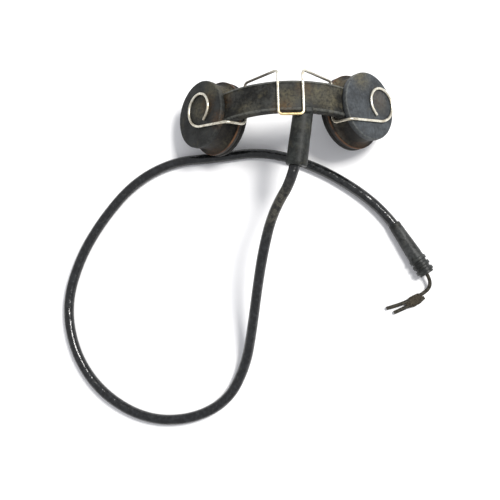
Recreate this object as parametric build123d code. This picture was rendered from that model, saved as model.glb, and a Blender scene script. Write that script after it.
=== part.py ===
from build123d import *
import os
from math import cos, degrees, pi, radians, sin, sqrt, tan

# Throat-worn radio headset: two round capsules on a short arched rubber band, a sprung wire
# with a strap curl over each capsule, and one cord that leaves the band through a boot.
# Millimetres. X along the band, Y across it, Z up. The origin is on the surface that the
# headset stands on, midway between the capsules. Depths in a capsule are measured inwards
# from its outer face.

# ---- capsule shell ----
CAP_R = 20.0
CAP_THICK = 3.3
CAP_EDGE = 0.9
GAP = 0.1
BODY_R = CAP_R - 0.8
BODY_DEPTH = 13.2
FLARE_FILLET = 2.6
FLARE_LIP = 0.4
SPIGOT_R = BODY_R - 3.2
SPIGOT_WALL = 2.0
SPIGOT_DEEP = 1.6
CAN_R = BODY_R - 2.2
CAN_WALL = 0.7
CAN_TOP_DEPTH = 7.9
FLANGE_R = BODY_R + 3.0
FLANGE_THICK = 1.0
DIAPHRAGM_THICK = 0.25
CLAMP_R = FLANGE_R - 0.4
CLAMP_BORE = CLAMP_R - 3.2
CLAMP_THICK = 2.0
PAD_R = FLANGE_R
PAD_THICK = 2.35
PAD_EDGE = 0.5
PAD_SPIGOT = 1.0
GROOVE_R = PAD_R - 8.2
GROOVE_WIDE = 1.2
GROOVE_DEEP = 0.5

# ---- transducer in the can ----
MAGNET_LONG = 7.2
MAGNET_WIDE = 10.0
MAGNET_TALL = 2.5
POLE_THICK = 1.5
POLE_WIDE = 7.0
POLE_AIR = 0.3
COIL_WALL = 1.2
COIL_TALL = 2.2
COIL_CLEAR = 0.1

# ---- terminals and rivets on the can's top ----
STRIP_X = 9.0
STRIP_LONG = 4.6
STRIP_WIDE = 12.0
STRIP_THICK = 1.0
SCREW_PITCH = 7.0
SCREW_R = 0.8
SCREW_HEAD_R = 1.6
SCREW_HEAD = 0.9
SCREW_LONG = 3.4
SLOT_WIDE = 0.5
SLOT_DEEP = 0.4
RIVET_X = 12.0
RIVET_PITCH = 6.6
RIVET_R = 0.9
RIVET_HEAD_R = 1.5
RIVET_HEAD = 0.4
HOLE_CLEAR = 0.05

# ---- arched band ----
TILT = 43.0
CAPSULE_X = 50.2
BAND_WIDE = 17.5
BAND_THICK = 6.5
BAND_EDGE = 1.8
ARCH_END_X = CAP_R - 0.13
BAND_TAIL = 6.0
LEAF_DROP = 3.5
LEAF_THICK = 0.8
LEAF_WIDE = 11.0
LEAF_PAST_RIVET = 4.13
LEAD_DROP = 2.3
LEAD_R = 0.55
LEAD_PITCH = 1.6
LEAD_ARC_STEPS = 4
LEAD_START = 1.6
LEAD_INTO_BAND = 1.6
LEAD_TO_SCREW = 0.2
LEAD_BEND = 2.5
CHANNEL_CLEAR = 0.15
NOTCH_CLEAR = 0.3

# ---- wire spring, slid along the band by WIRE_SLIDE degrees ----
WIRE_R = 0.75
WIRE_CLEAR = 0.1
WIRE_SLIDE = 5.35
FRONT_HALF = 8.0
BACK_HALF = 36.9
WIRE_TOP_Y = BAND_WIDE / 2 + 5.55
WIRE_BOTTOM_Y = -BAND_WIDE / 2 - 2.25
BAR_TOP_Y = BAND_WIDE / 2 + 4.45
BAR_SPLIT_Y = 2.0
BAR_BOTTOM_Y = -BAND_WIDE / 2 - 2.45
WIRE_BEND = 2.2
ARM_BEND = 3.0
KINK_PAST_BAR = 2.6
KINK_BEFORE_CAP = 1.3
KINK_Y = -BAND_WIDE / 2 - 2.65
CURL_X = 4.0
CURL_Y = 3.0
CURL_INNER_R = 8.7
CURL_OUTER_R = 10.4
CURL_POINTS = 10
CURL_FREE_ANGLE = 242.0
CURL_ARM_ANGLE = -82.0

# ---- boot, with the cord's start in it ----
CORD_R = 3.0
CORD_GRIP = 16.0
BOOT_ANGLE = 15.7
BOOT_DROP = 5.7
BOOT_SINK = 4.75
BOOT_RUN = (-5.35, -33.4, -3.3)
BOOT_ROOT_R = CORD_R + 2.7
BOOT_END_R = CORD_R + 3.1
BOOT_EDGE = 0.8
BOOT_BORE = CORD_R + GAP
LIP_LONG = 4.4
LIP_OVERLAP = 2.4
LIP_OUT = 1.2
LIP_RISE = 0.8
LIP_TALL = 4.0

# ---- far end of the cord ----
SLEEVE_START = (63.6, -65.9, CORD_R + 0.8)
SLEEVE_TURN = -60.0
SLEEVE_LONG = 24.5
SLEEVE_START_R = CORD_R + 0.6
SLEEVE_END_R = CORD_R + 1.6
SLEEVE_BORE = CORD_R + GAP
SLEEVE_GRIP = 8.0
COLLAR_R = CORD_R + 2.2
COLLAR_CORE_R = CORD_R + 1.0
COLLAR_COUNT = 3
COLLAR_WIDE = 2.3
COLLAR_PITCH = 3.7
COLLAR_EDGE = 0.5
CUT_LEAD_R = 1.1
CUT_LEAD_BEND = 7.0
LEAD_OUT = 2.5
LEAD_GRIP = 3.8
LONG_LEAD = [
    (83.2, -104.6, 2.6),
    (78.2, -108.6, 1.6),
    (71.5, -111.6, 1.6),
    (64.6, -114.4, 1.5),
    (57.1, -116.3, 1.3),
]
SHORT_LEAD = [
    (79.6, -110.4, 1.8),
    (73.8, -113.7, 1.6),
    (67.5, -116.4, 1.5),
    (61.4, -119.0, 1.2),
]
TIE_CENTRE = (73.6, -112.2, 1.6)
TIE_TURN = -152.0
TIE_LONG = 5.0
TIE_WIDE = 6.4
TIE_TALL = 3.2

# The cord's route between its two straight ends, as x, y and the height of its underside: it
# hangs from the boot down to the surface, lies round in one big loop, passes close to the left
# capsule's rim and goes under the boot.
CORD_PASS_Y = 5.0 - CORD_R - PAD_R
CORD_ROUTE = [
    (-7.5, -62.0, 35.2),
    (-14.0, -84.0, 29.8),
    (-18.5, -106.0, 22.0),
    (-22.5, -127.0, 11.5),
    (-27.5, -148.0, 1.0),
    (-38.5, -169.0, 0.0),
    (-61.0, -180.0, 0.0),
    (-89.0, -179.5, 0.0),
    (-116.0, -164.0, 0.0),
    (-133.0, -140.0, 0.0),
    (-139.0, -110.0, 0.0),
    (-131.0, -81.0, 0.0),
    (-116.0, -56.0, 0.0),
    (-96.0, -33.5, 0.0),
    (-71.0, CORD_PASS_Y - 0.8, 0.0),
    (-45.0, CORD_PASS_Y, 0.0),
    (-14.0, -16.8, 0.0),
    (16.0, -27.0, 0.0),
    (42.0, -43.0, 0.0),
]
CORD_PAST_BOOT = 5.0
CORD_BEFORE_SLEEVE = 6.0

# ---- depths and places worked out from the sizes above ----
BODY_TOP = CAP_THICK + GAP
CAN_IN_TOP = CAN_TOP_DEPTH + CAN_WALL
FLANGE_END = BODY_DEPTH + FLANGE_THICK
DIAPHRAGM_END = FLANGE_END + DIAPHRAGM_THICK
CLAMP_END = DIAPHRAGM_END + CLAMP_THICK
STACK = CLAMP_END + PAD_THICK
LEAF_DEPTH = BODY_TOP + LEAF_DROP
LEAD_DEPTH = BODY_TOP + LEAD_DROP
SIN_TILT = sin(radians(TILT))
COS_TILT = cos(radians(TILT))
CAPSULE_Z = (STACK - PAD_EDGE) * COS_TILT + (PAD_R - PAD_EDGE) * SIN_TILT + PAD_EDGE
ARCH_END_OUT = CAPSULE_X - ARCH_END_X * COS_TILT - BODY_TOP * SIN_TILT
ARCH_END_Z = CAPSULE_Z + ARCH_END_X * SIN_TILT - BODY_TOP * COS_TILT
BAND_R = ARCH_END_OUT / SIN_TILT
ARCH_Z = ARCH_END_Z - BAND_R * COS_TILT
LEAF_TAIL = ARCH_END_X - RIVET_X + LEAF_PAST_RIVET
LEAF_R = BAND_R - LEAF_DROP - LEAF_THICK / 2
LEAD_ARC_R = BAND_R - LEAD_DROP
WIRE_FRONT_R = BAND_R + WIRE_CLEAR + WIRE_R
WIRE_BACK_R = BAND_R - BAND_THICK - WIRE_CLEAR - WIRE_R
WIRE_OVER_CAP = WIRE_R + WIRE_CLEAR
SIDES = {"left": -1, "right": 1}


# ---- frames ----
def capsule_place(side):
    """Where a capsule's own frame sits: its z is out of the outer face, side * x runs down."""
    return Location((side * CAPSULE_X, 0, CAPSULE_Z), (0, side * TILT, 0))


def capsule_point(side, down, across, out):
    """A point given in a capsule's frame: down its face, across it, and out of the face."""
    x = side * (CAPSULE_X + down * COS_TILT + out * SIN_TILT)
    z = CAPSULE_Z - down * SIN_TILT + out * COS_TILT
    return Vector(x, across, z)


def arch_point(radius, angle, across):
    """A point on the arch, at a radius from its axis and an angle from its crown."""
    a = radians(angle)
    return Vector(radius * sin(a), across, ARCH_Z + radius * cos(a))


def unit(a, b):
    """The direction from a to b."""
    return (Vector(b) - Vector(a)).normalized()


# ---- shape helpers ----
def turned(*outline):
    """A solid turned about the capsule's axis from (radius, depth) corners."""
    points = [(r, -depth) for r, depth in outline]
    face = Plane.XZ * make_face(Polyline(*points, close=True))
    return revolve(face, Axis.Z)


def ring(outer, inner, top, bottom):
    """A plain ring, or a disc where the inner radius is 0, between two depths."""
    return turned((inner, top), (outer, top), (outer, bottom), (inner, bottom))


def block(long, wide, top, bottom, at=0.0):
    """A box between two depths, centred at a distance along the capsule's x."""
    place = Pos(at, 0, -(top + bottom) / 2)
    return place * Box(long, wide, bottom - top)


def post(radius, top, bottom, x, y):
    """An upright cylinder between two depths."""
    return Pos(x, y, -(top + bottom) / 2) * Cylinder(radius, bottom - top)


def bend_radii(points, largest=1000.0):
    """Each corner's radius: as large as its two runs allow, up to the largest."""
    radii = []
    for before, corner, after in zip(points, points[1:], points[2:]):
        run_in = Vector(corner) - Vector(before)
        run_out = Vector(after) - Vector(corner)
        half_turn = radians(run_in.get_angle(run_out)) / 2
        radii.append(min(0.45 * min(run_in.length, run_out.length) / tan(half_turn), largest))
    return radii


def tube(points, radius, radii):
    """A round tube along straight runs joined by tangent arcs, and its length."""
    path = FilletPolyline(*points, radius=radii)
    section = Plane(origin=path @ 0, z_dir=path % 0) * Circle(radius)
    return sweep(section, path=path), path.length


# ---- capsule pieces, each in the capsule's own frame ----
def cap_cover():
    """Rubber disc that closes a capsule's outside, with a spigot into the body's mouth."""
    disc = ring(CAP_R, 0, 0, CAP_THICK)
    top_edge = disc.edges().filter_by(GeomType.CIRCLE).sort_by(Axis.Z)[-1]
    disc = fillet(top_edge, CAP_EDGE)
    return disc + ring(SPIGOT_R, SPIGOT_R - SPIGOT_WALL, CAP_THICK, CAP_THICK + SPIGOT_DEEP)


def body_outline(grow):
    """The body's outside: a straight wall, then a hollow flare out to the rim."""
    wall = BODY_R + grow
    centre_r = BODY_R + FLARE_FILLET
    flare_end = BODY_DEPTH - FLARE_LIP
    centre_depth = flare_end - FLARE_FILLET
    arc_r = FLARE_FILLET - grow
    mid = arc_r * cos(radians(45))
    lines = [
        Line((0, -BODY_TOP + grow), (wall, -BODY_TOP + grow)),
        Line((wall, -BODY_TOP + grow), (wall, -centre_depth)),
        ThreePointArc(
            (wall, -centre_depth),
            (centre_r - mid, -centre_depth - mid),
            (centre_r, -centre_depth - arc_r),
        ),
        Line((centre_r, -centre_depth - arc_r), (centre_r, -BODY_DEPTH)),
        Line((centre_r, -BODY_DEPTH), (0, -BODY_DEPTH)),
        Line((0, -BODY_DEPTH), (0, -BODY_TOP + grow)),
    ]
    return revolve(Plane.XZ * make_face(Curve() + lines), Axis.Z)


def capsule_body(side):
    """Rubber cup round the can, open at its mouth and notched for the leaf and the leads."""
    mouth = ring(SPIGOT_R + GAP, 0, BODY_TOP, CAN_TOP_DEPTH - GAP)
    inside = ring(CAN_R + GAP, 0, CAN_TOP_DEPTH - GAP, BODY_DEPTH)
    long = BODY_R + 1.0
    notch = block(long, LEAF_WIDE + 2 * NOTCH_CLEAR, BODY_TOP, CAN_TOP_DEPTH - GAP, -side * long / 2)
    return body_outline(0) - mouth - inside - notch


def capsule_can(side):
    """Drawn metal can with the flange that shows as the rim, drilled for rivets and screws."""
    can = turned(
        (0, CAN_TOP_DEPTH),
        (CAN_R, CAN_TOP_DEPTH),
        (CAN_R, BODY_DEPTH),
        (FLANGE_R, BODY_DEPTH),
        (FLANGE_R, FLANGE_END),
        (CAN_R - CAN_WALL, FLANGE_END),
        (CAN_R - CAN_WALL, CAN_IN_TOP),
        (0, CAN_IN_TOP),
    )
    for y in (-RIVET_PITCH / 2, RIVET_PITCH / 2):
        can -= post(RIVET_R + HOLE_CLEAR, CAN_TOP_DEPTH - 1, CAN_IN_TOP + 1, -side * RIVET_X, y)
    for y in (-SCREW_PITCH / 2, SCREW_PITCH / 2):
        can -= post(SCREW_R + HOLE_CLEAR, CAN_TOP_DEPTH - 1, CAN_IN_TOP + 1, side * STRIP_X, y)
    return can


def diaphragm():
    """Thin steel disc held between the flange and the clamp ring."""
    return ring(CLAMP_R, 0, FLANGE_END, DIAPHRAGM_END)


def clamp_ring():
    """Black ring that clamps the diaphragm."""
    return ring(CLAMP_R, CLAMP_BORE, DIAPHRAGM_END, CLAMP_END)


def contact_pad():
    """Hard rubber face that lies on the throat, with a groove and a spigot in the clamp ring."""
    disc = ring(PAD_R, 0, CLAMP_END, STACK)
    rims = disc.edges().filter_by(GeomType.CIRCLE)
    disc = fillet(rims, PAD_EDGE)
    groove = ring(GROOVE_R + GROOVE_WIDE, GROOVE_R, STACK - GROOVE_DEEP, STACK + 1)
    spigot = ring(CLAMP_BORE - GAP, 0, CLAMP_END - PAD_SPIGOT, CLAMP_END)
    return disc - groove + spigot


def magnet():
    """Block magnet on the can's floor, between the poles."""
    return block(MAGNET_LONG, MAGNET_WIDE, CAN_IN_TOP, CAN_IN_TOP + MAGNET_TALL)


def pole_pieces():
    """Two soft iron plates beside the magnet that reach up to the diaphragm."""
    at = (MAGNET_LONG + POLE_THICK) / 2
    plate = block(POLE_THICK, POLE_WIDE, CAN_IN_TOP, FLANGE_END - POLE_AIR)
    return Compound([Pos(x, 0, 0) * plate for x in (-at, at)])


def coils():
    """Two wound bobbins, one round each pole."""
    at = (MAGNET_LONG + POLE_THICK) / 2
    end = FLANGE_END - POLE_AIR - GAP
    inner = (POLE_THICK + 2 * COIL_CLEAR, POLE_WIDE + 2 * COIL_CLEAR)
    outer = (inner[0] + 2 * COIL_WALL, inner[1] + 2 * COIL_WALL)
    winding = block(*outer, end - COIL_TALL, end)
    winding = fillet(winding.edges().filter_by(Axis.Z), COIL_WALL * 0.8)
    winding -= block(*inner, end - COIL_TALL - 1, end + 1)
    return Compound([Pos(x, 0, 0) * winding for x in (-at, at)])


def terminal_strip(side):
    """Insulating strip under the terminal screws."""
    strip = block(STRIP_LONG, STRIP_WIDE, CAN_TOP_DEPTH - STRIP_THICK, CAN_TOP_DEPTH, side * STRIP_X)
    for y in (-SCREW_PITCH / 2, SCREW_PITCH / 2):
        strip -= post(SCREW_R + HOLE_CLEAR, 0, STACK, side * STRIP_X, y)
    return strip


def terminal_screws(side):
    """Two slotted screws through the strip and the can's top."""
    under = CAN_TOP_DEPTH - STRIP_THICK
    screws = []
    for y in (-SCREW_PITCH / 2, SCREW_PITCH / 2):
        x = side * STRIP_X
        screw = post(SCREW_HEAD_R, under - SCREW_HEAD, under, x, y)
        screw += post(SCREW_R, under, under + SCREW_LONG, x, y)
        head_top = -(under - SCREW_HEAD)
        screw -= Pos(x, y, head_top) * Box(3 * SCREW_HEAD_R, SLOT_WIDE, 2 * SLOT_DEEP)
        screws.append(screw)
    return Compound(screws)


def anchor_rivets(side):
    """Two rivets that hold the leaf spring's end on the can's top."""
    rivets = []
    top = LEAF_DEPTH - HOLE_CLEAR
    for y in (-RIVET_PITCH / 2, RIVET_PITCH / 2):
        x = -side * RIVET_X
        rivet = post(RIVET_HEAD_R, top - RIVET_HEAD, top, x, y)
        rivet += post(RIVET_R, top, CAN_IN_TOP, x, y)
        rivet += post(RIVET_HEAD_R, CAN_IN_TOP, CAN_IN_TOP + RIVET_HEAD, x, y)
        rivets.append(rivet)
    return Compound(rivets)


# ---- band ----
def arch_strip(radius_mid, thick, wide, edge, tail):
    """A flat strip bent to the arch, with a straight tail at each end under the caps."""
    section = RectangleRounded(wide, thick, edge) if edge else Rectangle(wide, thick)
    crown = Plane(origin=(0, 0, ARCH_Z + radius_mid), x_dir=(0, 1, 0), z_dir=(1, 0, 0))
    axis = Axis((0, 0, ARCH_Z), (0, 1, 0))
    start = (crown * section).rotate(axis, -TILT)
    strip = revolve(start, axis, 2 * TILT)
    for side in SIDES.values():
        end = (crown * section).rotate(axis, side * TILT)
        away = (side * COS_TILT, 0, -SIN_TILT)
        strip += extrude(end.faces()[0], tail, dir=away)
    return strip


def band_envelope(grow):
    """The band's outside, before its ends are cut to the capsules."""
    mid = BAND_R - BAND_THICK / 2
    return arch_strip(mid, BAND_THICK + 2 * grow, BAND_WIDE + 2 * grow, BAND_EDGE, BAND_TAIL)


def leaf_spring():
    """Steel strip bent to the arch, with two rivet holes in each end."""
    leaf = arch_strip(LEAF_R, LEAF_THICK, LEAF_WIDE, 0, LEAF_TAIL)
    for side in SIDES.values():
        holes = [
            post(RIVET_R + 2 * CHANNEL_CLEAR, 0, STACK, -side * RIVET_X, y)
            for y in (-RIVET_PITCH / 2, RIVET_PITCH / 2)
        ]
        for hole in holes:
            leaf -= capsule_place(side) * hole
    return leaf


def lead_points(side, inner):
    """One lead's route: up the boot, into the band, round the arch and on to a terminal."""
    offset = side * LEAD_PITCH * (0.5 if inner else 1.5)
    axis = unit(boot_root(), boot_end())
    start = boot_end() - axis * (CORD_GRIP + LEAD_START)
    bend = boot_root() + axis * (BOOT_SINK + LEAD_INTO_BAND)
    track = -abs(offset)
    from_angle = degrees((boot_root().X + offset) / LEAD_ARC_R)
    points = [
        start + Vector(offset, 0, 0),
        bend + Vector(offset, 0, 0),
        arch_point(LEAD_ARC_R, from_angle, -LEAF_WIDE / 2 - 2 * LEAD_R),
        arch_point(LEAD_ARC_R, from_angle, track),
    ]
    for i in range(1, LEAD_ARC_STEPS + 1):
        angle = from_angle + (side * TILT - from_angle) * i / LEAD_ARC_STEPS
        points.append(arch_point(LEAD_ARC_R, angle, track))
    down = STRIP_X - SCREW_HEAD_R - LEAD_TO_SCREW
    across = SCREW_PITCH / 2 if inner else -SCREW_PITCH / 2
    points.append(capsule_point(side, down, across, -LEAD_DEPTH))
    return points


def lead_tube(side, inner, radius):
    """One lead, or the channel round it."""
    points = lead_points(side, inner)
    return tube(points, radius, bend_radii(points, LEAD_BEND))[0]


def leads(side):
    """The two insulated wires of one capsule."""
    return Compound([lead_tube(side, inner, LEAD_R) for inner in (True, False)])


def band_cover():
    """Rubber moulding of the band, cut to the capsules, round its leaf spring and leads."""
    band = band_envelope(0)
    clear = 2 * CHANNEL_CLEAR
    band -= arch_strip(LEAF_R, LEAF_THICK + clear, LEAF_WIDE + clear, 0, LEAF_TAIL)
    for side in SIDES.values():
        cap = ring(CAP_R + GAP, 0, -1, BODY_TOP)
        below = ring(FLANGE_R + GAP, 0, BODY_DEPTH - FLARE_LIP, STACK + 1)
        band -= capsule_place(side) * (body_outline(GAP) + cap + below)
        for inner in (True, False):
            band -= lead_tube(side, inner, LEAD_R + CHANNEL_CLEAR)
    return band.solids().sort_by(SortBy.VOLUME)[-1]


# ---- wire spring ----
def bar_point(side, across):
    """A point on the bar behind the band on one side."""
    return arch_point(WIRE_BACK_R, WIRE_SLIDE + side * BACK_HALF, across)


def wire_bridge():
    """Wire frame over the band: down the front, round its upper edge and behind it."""
    points = []
    for side in (-1, 1):
        front = WIRE_SLIDE + side * FRONT_HALF
        half = [
            bar_point(side, BAR_SPLIT_Y),
            bar_point(side, BAR_TOP_Y),
            arch_point(WIRE_FRONT_R, front, WIRE_TOP_Y),
            arch_point(WIRE_FRONT_R, front, WIRE_BOTTOM_Y),
        ]
        points += half if side < 0 else half[::-1]
    return tube(points, WIRE_R, bend_radii(points, WIRE_BEND))[0]


def down_the_face(side, point):
    """How far down a capsule's face a point is, seen square to the face."""
    return side * point.X * COS_TILT - CAPSULE_X * COS_TILT - (point.Z - CAPSULE_Z) * SIN_TILT


def wire_arm(side):
    """Lower half of a bar, the arm across the cap and the curl that takes the strap."""
    bar = bar_point(side, BAR_BOTTOM_Y)
    shift = side * WIRE_FRONT_R * radians(WIRE_SLIDE)
    cap_edge = -sqrt(CAP_R**2 - KINK_Y**2)
    kink = min(down_the_face(side, bar) + KINK_PAST_BAR, cap_edge - KINK_BEFORE_CAP)
    points = [bar_point(side, BAR_SPLIT_Y), bar]
    points.append(capsule_point(side, kink, KINK_Y, WIRE_OVER_CAP))
    step = (CURL_FREE_ANGLE - CURL_ARM_ANGLE) / (CURL_POINTS - 1)
    corner = cos(radians(step / 2))
    for i in range(CURL_POINTS):
        turn = radians(CURL_ARM_ANGLE + step * i)
        part = 1 - i / (CURL_POINTS - 1)
        radius = (CURL_INNER_R + (CURL_OUTER_R - CURL_INNER_R) * part**3) / corner
        down = CURL_X + shift + radius * cos(turn)
        across = CURL_Y + radius * sin(turn)
        points.append(capsule_point(side, down, across, WIRE_OVER_CAP))
    radii = bend_radii(points[:4], ARM_BEND) + bend_radii(points[2:])
    return tube(points, WIRE_R, radii)[0]


# ---- boot and cord ----
def boot_root():
    """The start of the boot's axis, inside the band."""
    return arch_point(BAND_R - BOOT_DROP, BOOT_ANGLE, -BAND_WIDE / 2 + BOOT_SINK)


def boot_end():
    """The end of the boot's axis, where the cord comes out."""
    return boot_root() + Vector(*BOOT_RUN)


def cable_boot():
    """Tapered rubber sleeve on the band's lower edge, with a lip over the band's face."""
    root = boot_root()
    end = boot_end()
    axis = unit(root, end)
    long = (end - root).length
    base = Plane(origin=root, z_dir=axis)
    cone = base * Pos(0, 0, long / 2) * Cone(BOOT_ROOT_R, BOOT_END_R, long)
    rim = cone.edges().filter_by(GeomType.CIRCLE).sort_by(SortBy.RADIUS)[-1]
    cone = fillet(rim, BOOT_EDGE)
    wire_angle = WIRE_SLIDE + FRONT_HALF
    lip_angle = wire_angle + degrees((LIP_LONG / 2 + WIRE_R + 2 * WIRE_CLEAR) / BAND_R)
    top = BAND_R + LIP_RISE
    across = -BAND_WIDE / 2 + (LIP_OVERLAP - LIP_OUT) / 2
    middle = arch_point(top - LIP_TALL / 2, lip_angle, across)
    lip = Location(middle, (0, lip_angle, 0)) * Box(LIP_LONG, LIP_OVERLAP + LIP_OUT, LIP_TALL)
    lip = fillet(lip.edges(), LIP_RISE)
    boot = cone + lip - band_envelope(GAP / 2)
    boot -= base * Pos(0, 0, long) * Cylinder(BOOT_BORE, 3 * long)
    for side in SIDES.values():
        for inner in (True, False):
            boot -= lead_tube(side, inner, LEAD_R + CHANNEL_CLEAR)
    return boot.solids().sort_by(SortBy.VOLUME)[-1]


def cord_points():
    """The whole route, from inside the boot to inside the sleeve."""
    boot_axis = unit(boot_root(), boot_end())
    sleeve_axis = sleeve_direction()
    start = boot_end() - boot_axis * CORD_GRIP
    leaves = boot_end() + boot_axis * CORD_PAST_BOOT
    arrives = Vector(SLEEVE_START) - sleeve_axis * CORD_BEFORE_SLEEVE
    end = Vector(SLEEVE_START) + sleeve_axis * SLEEVE_GRIP
    route = [Vector(x, y, underside + CORD_R) for x, y, underside in CORD_ROUTE]
    return [start, leaves, *route, arrives, end]


def cord():
    """The free cord, and its printed length, radii and volume."""
    points = cord_points()
    radii = bend_radii(points)
    solid, length = tube(points, CORD_R, radii)
    share = solid.volume / (pi * CORD_R**2 * length)
    print("cord length", round(length, 1), "smallest radius", round(min(radii), 1))
    print("cord radii", [round(r) for r in radii])
    print("cord volume over section times length", round(share, 4))
    return solid


# ---- far end ----
def sleeve_direction():
    """The way the end sleeve points: along the surface, rising so that its collars rest on it."""
    long = SLEEVE_LONG + COLLAR_COUNT * COLLAR_PITCH
    rise = (COLLAR_R - SLEEVE_START[2]) / long
    turn = radians(SLEEVE_TURN)
    return Vector(cos(turn), sin(turn), rise).normalized()


def ribbed_end_sleeve():
    """Tapered rubber sleeve with three collars, moulded in one."""
    base = Plane(origin=SLEEVE_START, z_dir=sleeve_direction())
    taper = Pos(0, 0, SLEEVE_LONG / 2) * Cone(SLEEVE_START_R, SLEEVE_END_R, SLEEVE_LONG)
    collars = COLLAR_COUNT * COLLAR_PITCH
    body = taper + Pos(0, 0, SLEEVE_LONG + collars / 2) * Cylinder(COLLAR_CORE_R, collars)
    rib = fillet(Cylinder(COLLAR_R, COLLAR_WIDE).edges().filter_by(GeomType.CIRCLE), COLLAR_EDGE)
    for i in range(COLLAR_COUNT):
        body += Pos(0, 0, SLEEVE_LONG + COLLAR_PITCH * i + COLLAR_WIDE / 2) * rib
    body -= Pos(0, 0, SLEEVE_GRIP / 2 - 1) * Cylinder(SLEEVE_BORE, SLEEVE_GRIP + 2)
    body -= Pos(0, 0, SLEEVE_LONG + collars) * Cylinder(CUT_LEAD_R + CHANNEL_CLEAR, 2 * LEAD_GRIP)
    return base * body


def long_cut_lead():
    """The insulated wire that comes out of the end sleeve, cut off."""
    axis = sleeve_direction()
    outlet = Vector(SLEEVE_START) + axis * (SLEEVE_LONG + COLLAR_COUNT * COLLAR_PITCH)
    points = [outlet - axis * LEAD_GRIP, outlet + axis * LEAD_OUT]
    points += [Vector(p) for p in LONG_LEAD]
    return tube(points, CUT_LEAD_R, bend_radii(points, CUT_LEAD_BEND))[0]


def short_cut_lead():
    """The loose wire tied beside the first."""
    return tube(SHORT_LEAD, CUT_LEAD_R, bend_radii(SHORT_LEAD, 2 * CUT_LEAD_BEND))[0]


def lead_tie():
    """Tape wrapped round both cut wires."""
    turn = radians(TIE_TURN)
    along = (cos(turn), sin(turn), 0)
    across = (-sin(turn), cos(turn), 0)
    base = Plane(origin=TIE_CENTRE, z_dir=along, x_dir=across)
    tie = extrude(base * SlotOverall(TIE_WIDE, TIE_TALL), TIE_LONG / 2, both=True)
    tie -= long_cut_lead()
    tie -= short_cut_lead()
    return tie.solids().sort_by(SortBy.VOLUME)[-1]


# ---- all the pieces ----
def pieces():
    """Every node and its solid or solids, placed."""
    made = {
        "band_cover": band_cover(),
        "leaf_spring": leaf_spring(),
        "wire_bridge": wire_bridge(),
        "cable_boot": cable_boot(),
        "cord": cord(),
        "ribbed_end_sleeve": ribbed_end_sleeve(),
        "long_cut_lead": long_cut_lead(),
        "short_cut_lead": short_cut_lead(),
        "lead_tie": lead_tie(),
    }
    for name, side in SIDES.items():
        in_capsule = {
            "cap_cover": cap_cover(),
            "capsule_body": capsule_body(side),
            "capsule_can": capsule_can(side),
            "diaphragm": diaphragm(),
            "clamp_ring": clamp_ring(),
            "contact_pad": contact_pad(),
            "magnet": magnet(),
            "pole_pieces": pole_pieces(),
            "coils": coils(),
            "terminal_strip": terminal_strip(side),
            "terminal_screws": terminal_screws(side),
            "anchor_rivets": anchor_rivets(side),
        }
        for piece, shape in in_capsule.items():
            made[f"{name}_{piece}"] = capsule_place(side) * shape
        made[f"{name}_wire_arm"] = wire_arm(side)
        made[f"{name}_leads"] = leads(side)
    return made


os.makedirs("parts", exist_ok=True)
for node, shape in pieces().items():
    export_step(shape, f"parts/{node}.step")
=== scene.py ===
from math import cos, radians, sin

import bpy
from mathutils import Matrix, Vector


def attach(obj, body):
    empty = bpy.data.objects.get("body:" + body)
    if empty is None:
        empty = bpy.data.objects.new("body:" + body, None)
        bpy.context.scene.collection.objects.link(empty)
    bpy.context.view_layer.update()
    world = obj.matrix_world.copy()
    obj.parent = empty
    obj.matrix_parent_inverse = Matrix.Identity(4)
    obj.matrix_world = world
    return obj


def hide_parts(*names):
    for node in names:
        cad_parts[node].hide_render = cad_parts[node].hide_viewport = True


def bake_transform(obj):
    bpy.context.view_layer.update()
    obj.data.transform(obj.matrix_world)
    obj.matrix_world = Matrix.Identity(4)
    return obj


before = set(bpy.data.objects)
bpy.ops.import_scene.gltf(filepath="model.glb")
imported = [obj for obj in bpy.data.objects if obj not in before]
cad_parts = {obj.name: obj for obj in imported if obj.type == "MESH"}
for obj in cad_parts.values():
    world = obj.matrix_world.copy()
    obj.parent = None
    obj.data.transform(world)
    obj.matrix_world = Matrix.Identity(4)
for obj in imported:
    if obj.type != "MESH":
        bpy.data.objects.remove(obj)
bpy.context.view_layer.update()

# Lengths are in millimetres and angles in degrees until a piece is made: MM turns them to metres.
MM = 0.001
# Corners nearer than MERGE, in metres, become one. A corner within CLOSE of a plane is on it.
MERGE = 1e-6
CLOSE = 0.02
SIDES = {"left": -1, "right": 1}

# ---- the capsules: depths run inwards from a cap's outer face ----
# CAP_DISH is the dish of that face, as (share of the cap's radius, height).
CAPSULE_X = 50.2
CAPSULE_Z = 28.683
TILT = 43.0
CAP_R = 20.0
CAP_THICK = 3.3
CAP_EDGE = 0.9
CAP_FOOT = 0.3
CAP_DISH = [(0.0, -0.12), (0.55, -0.1), (0.8, 0.0)]
GAP = 0.1
SPIGOT_R = 16.0
SPIGOT_LONG = 1.4
BODY_TOP = CAP_THICK + GAP
BODY_R = 19.2
BODY_DEPTH = 13.2
FLARE_FILLET = 2.6
FLARE_STEPS = 10
FLARE_LIP = 0.4
LIP_ROUND = 0.1
RIM_R = 22.2
CAN_CLEAR_R = 17.1
CAN_TOP_DEPTH = 7.8
PAD_TOP = 16.45
PAD_R = 22.2
PAD_FACE = 18.8
PAD_EDGE = 0.5
PAD_SPIGOT_R = 18.5
PAD_SPIGOT_LONG = 0.9
GROOVE_R = 14.0
GROOVE_WIDE = 1.2
GROOVE_DEEP = 0.5
GROOVE_SLOPE = 0.15

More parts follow.
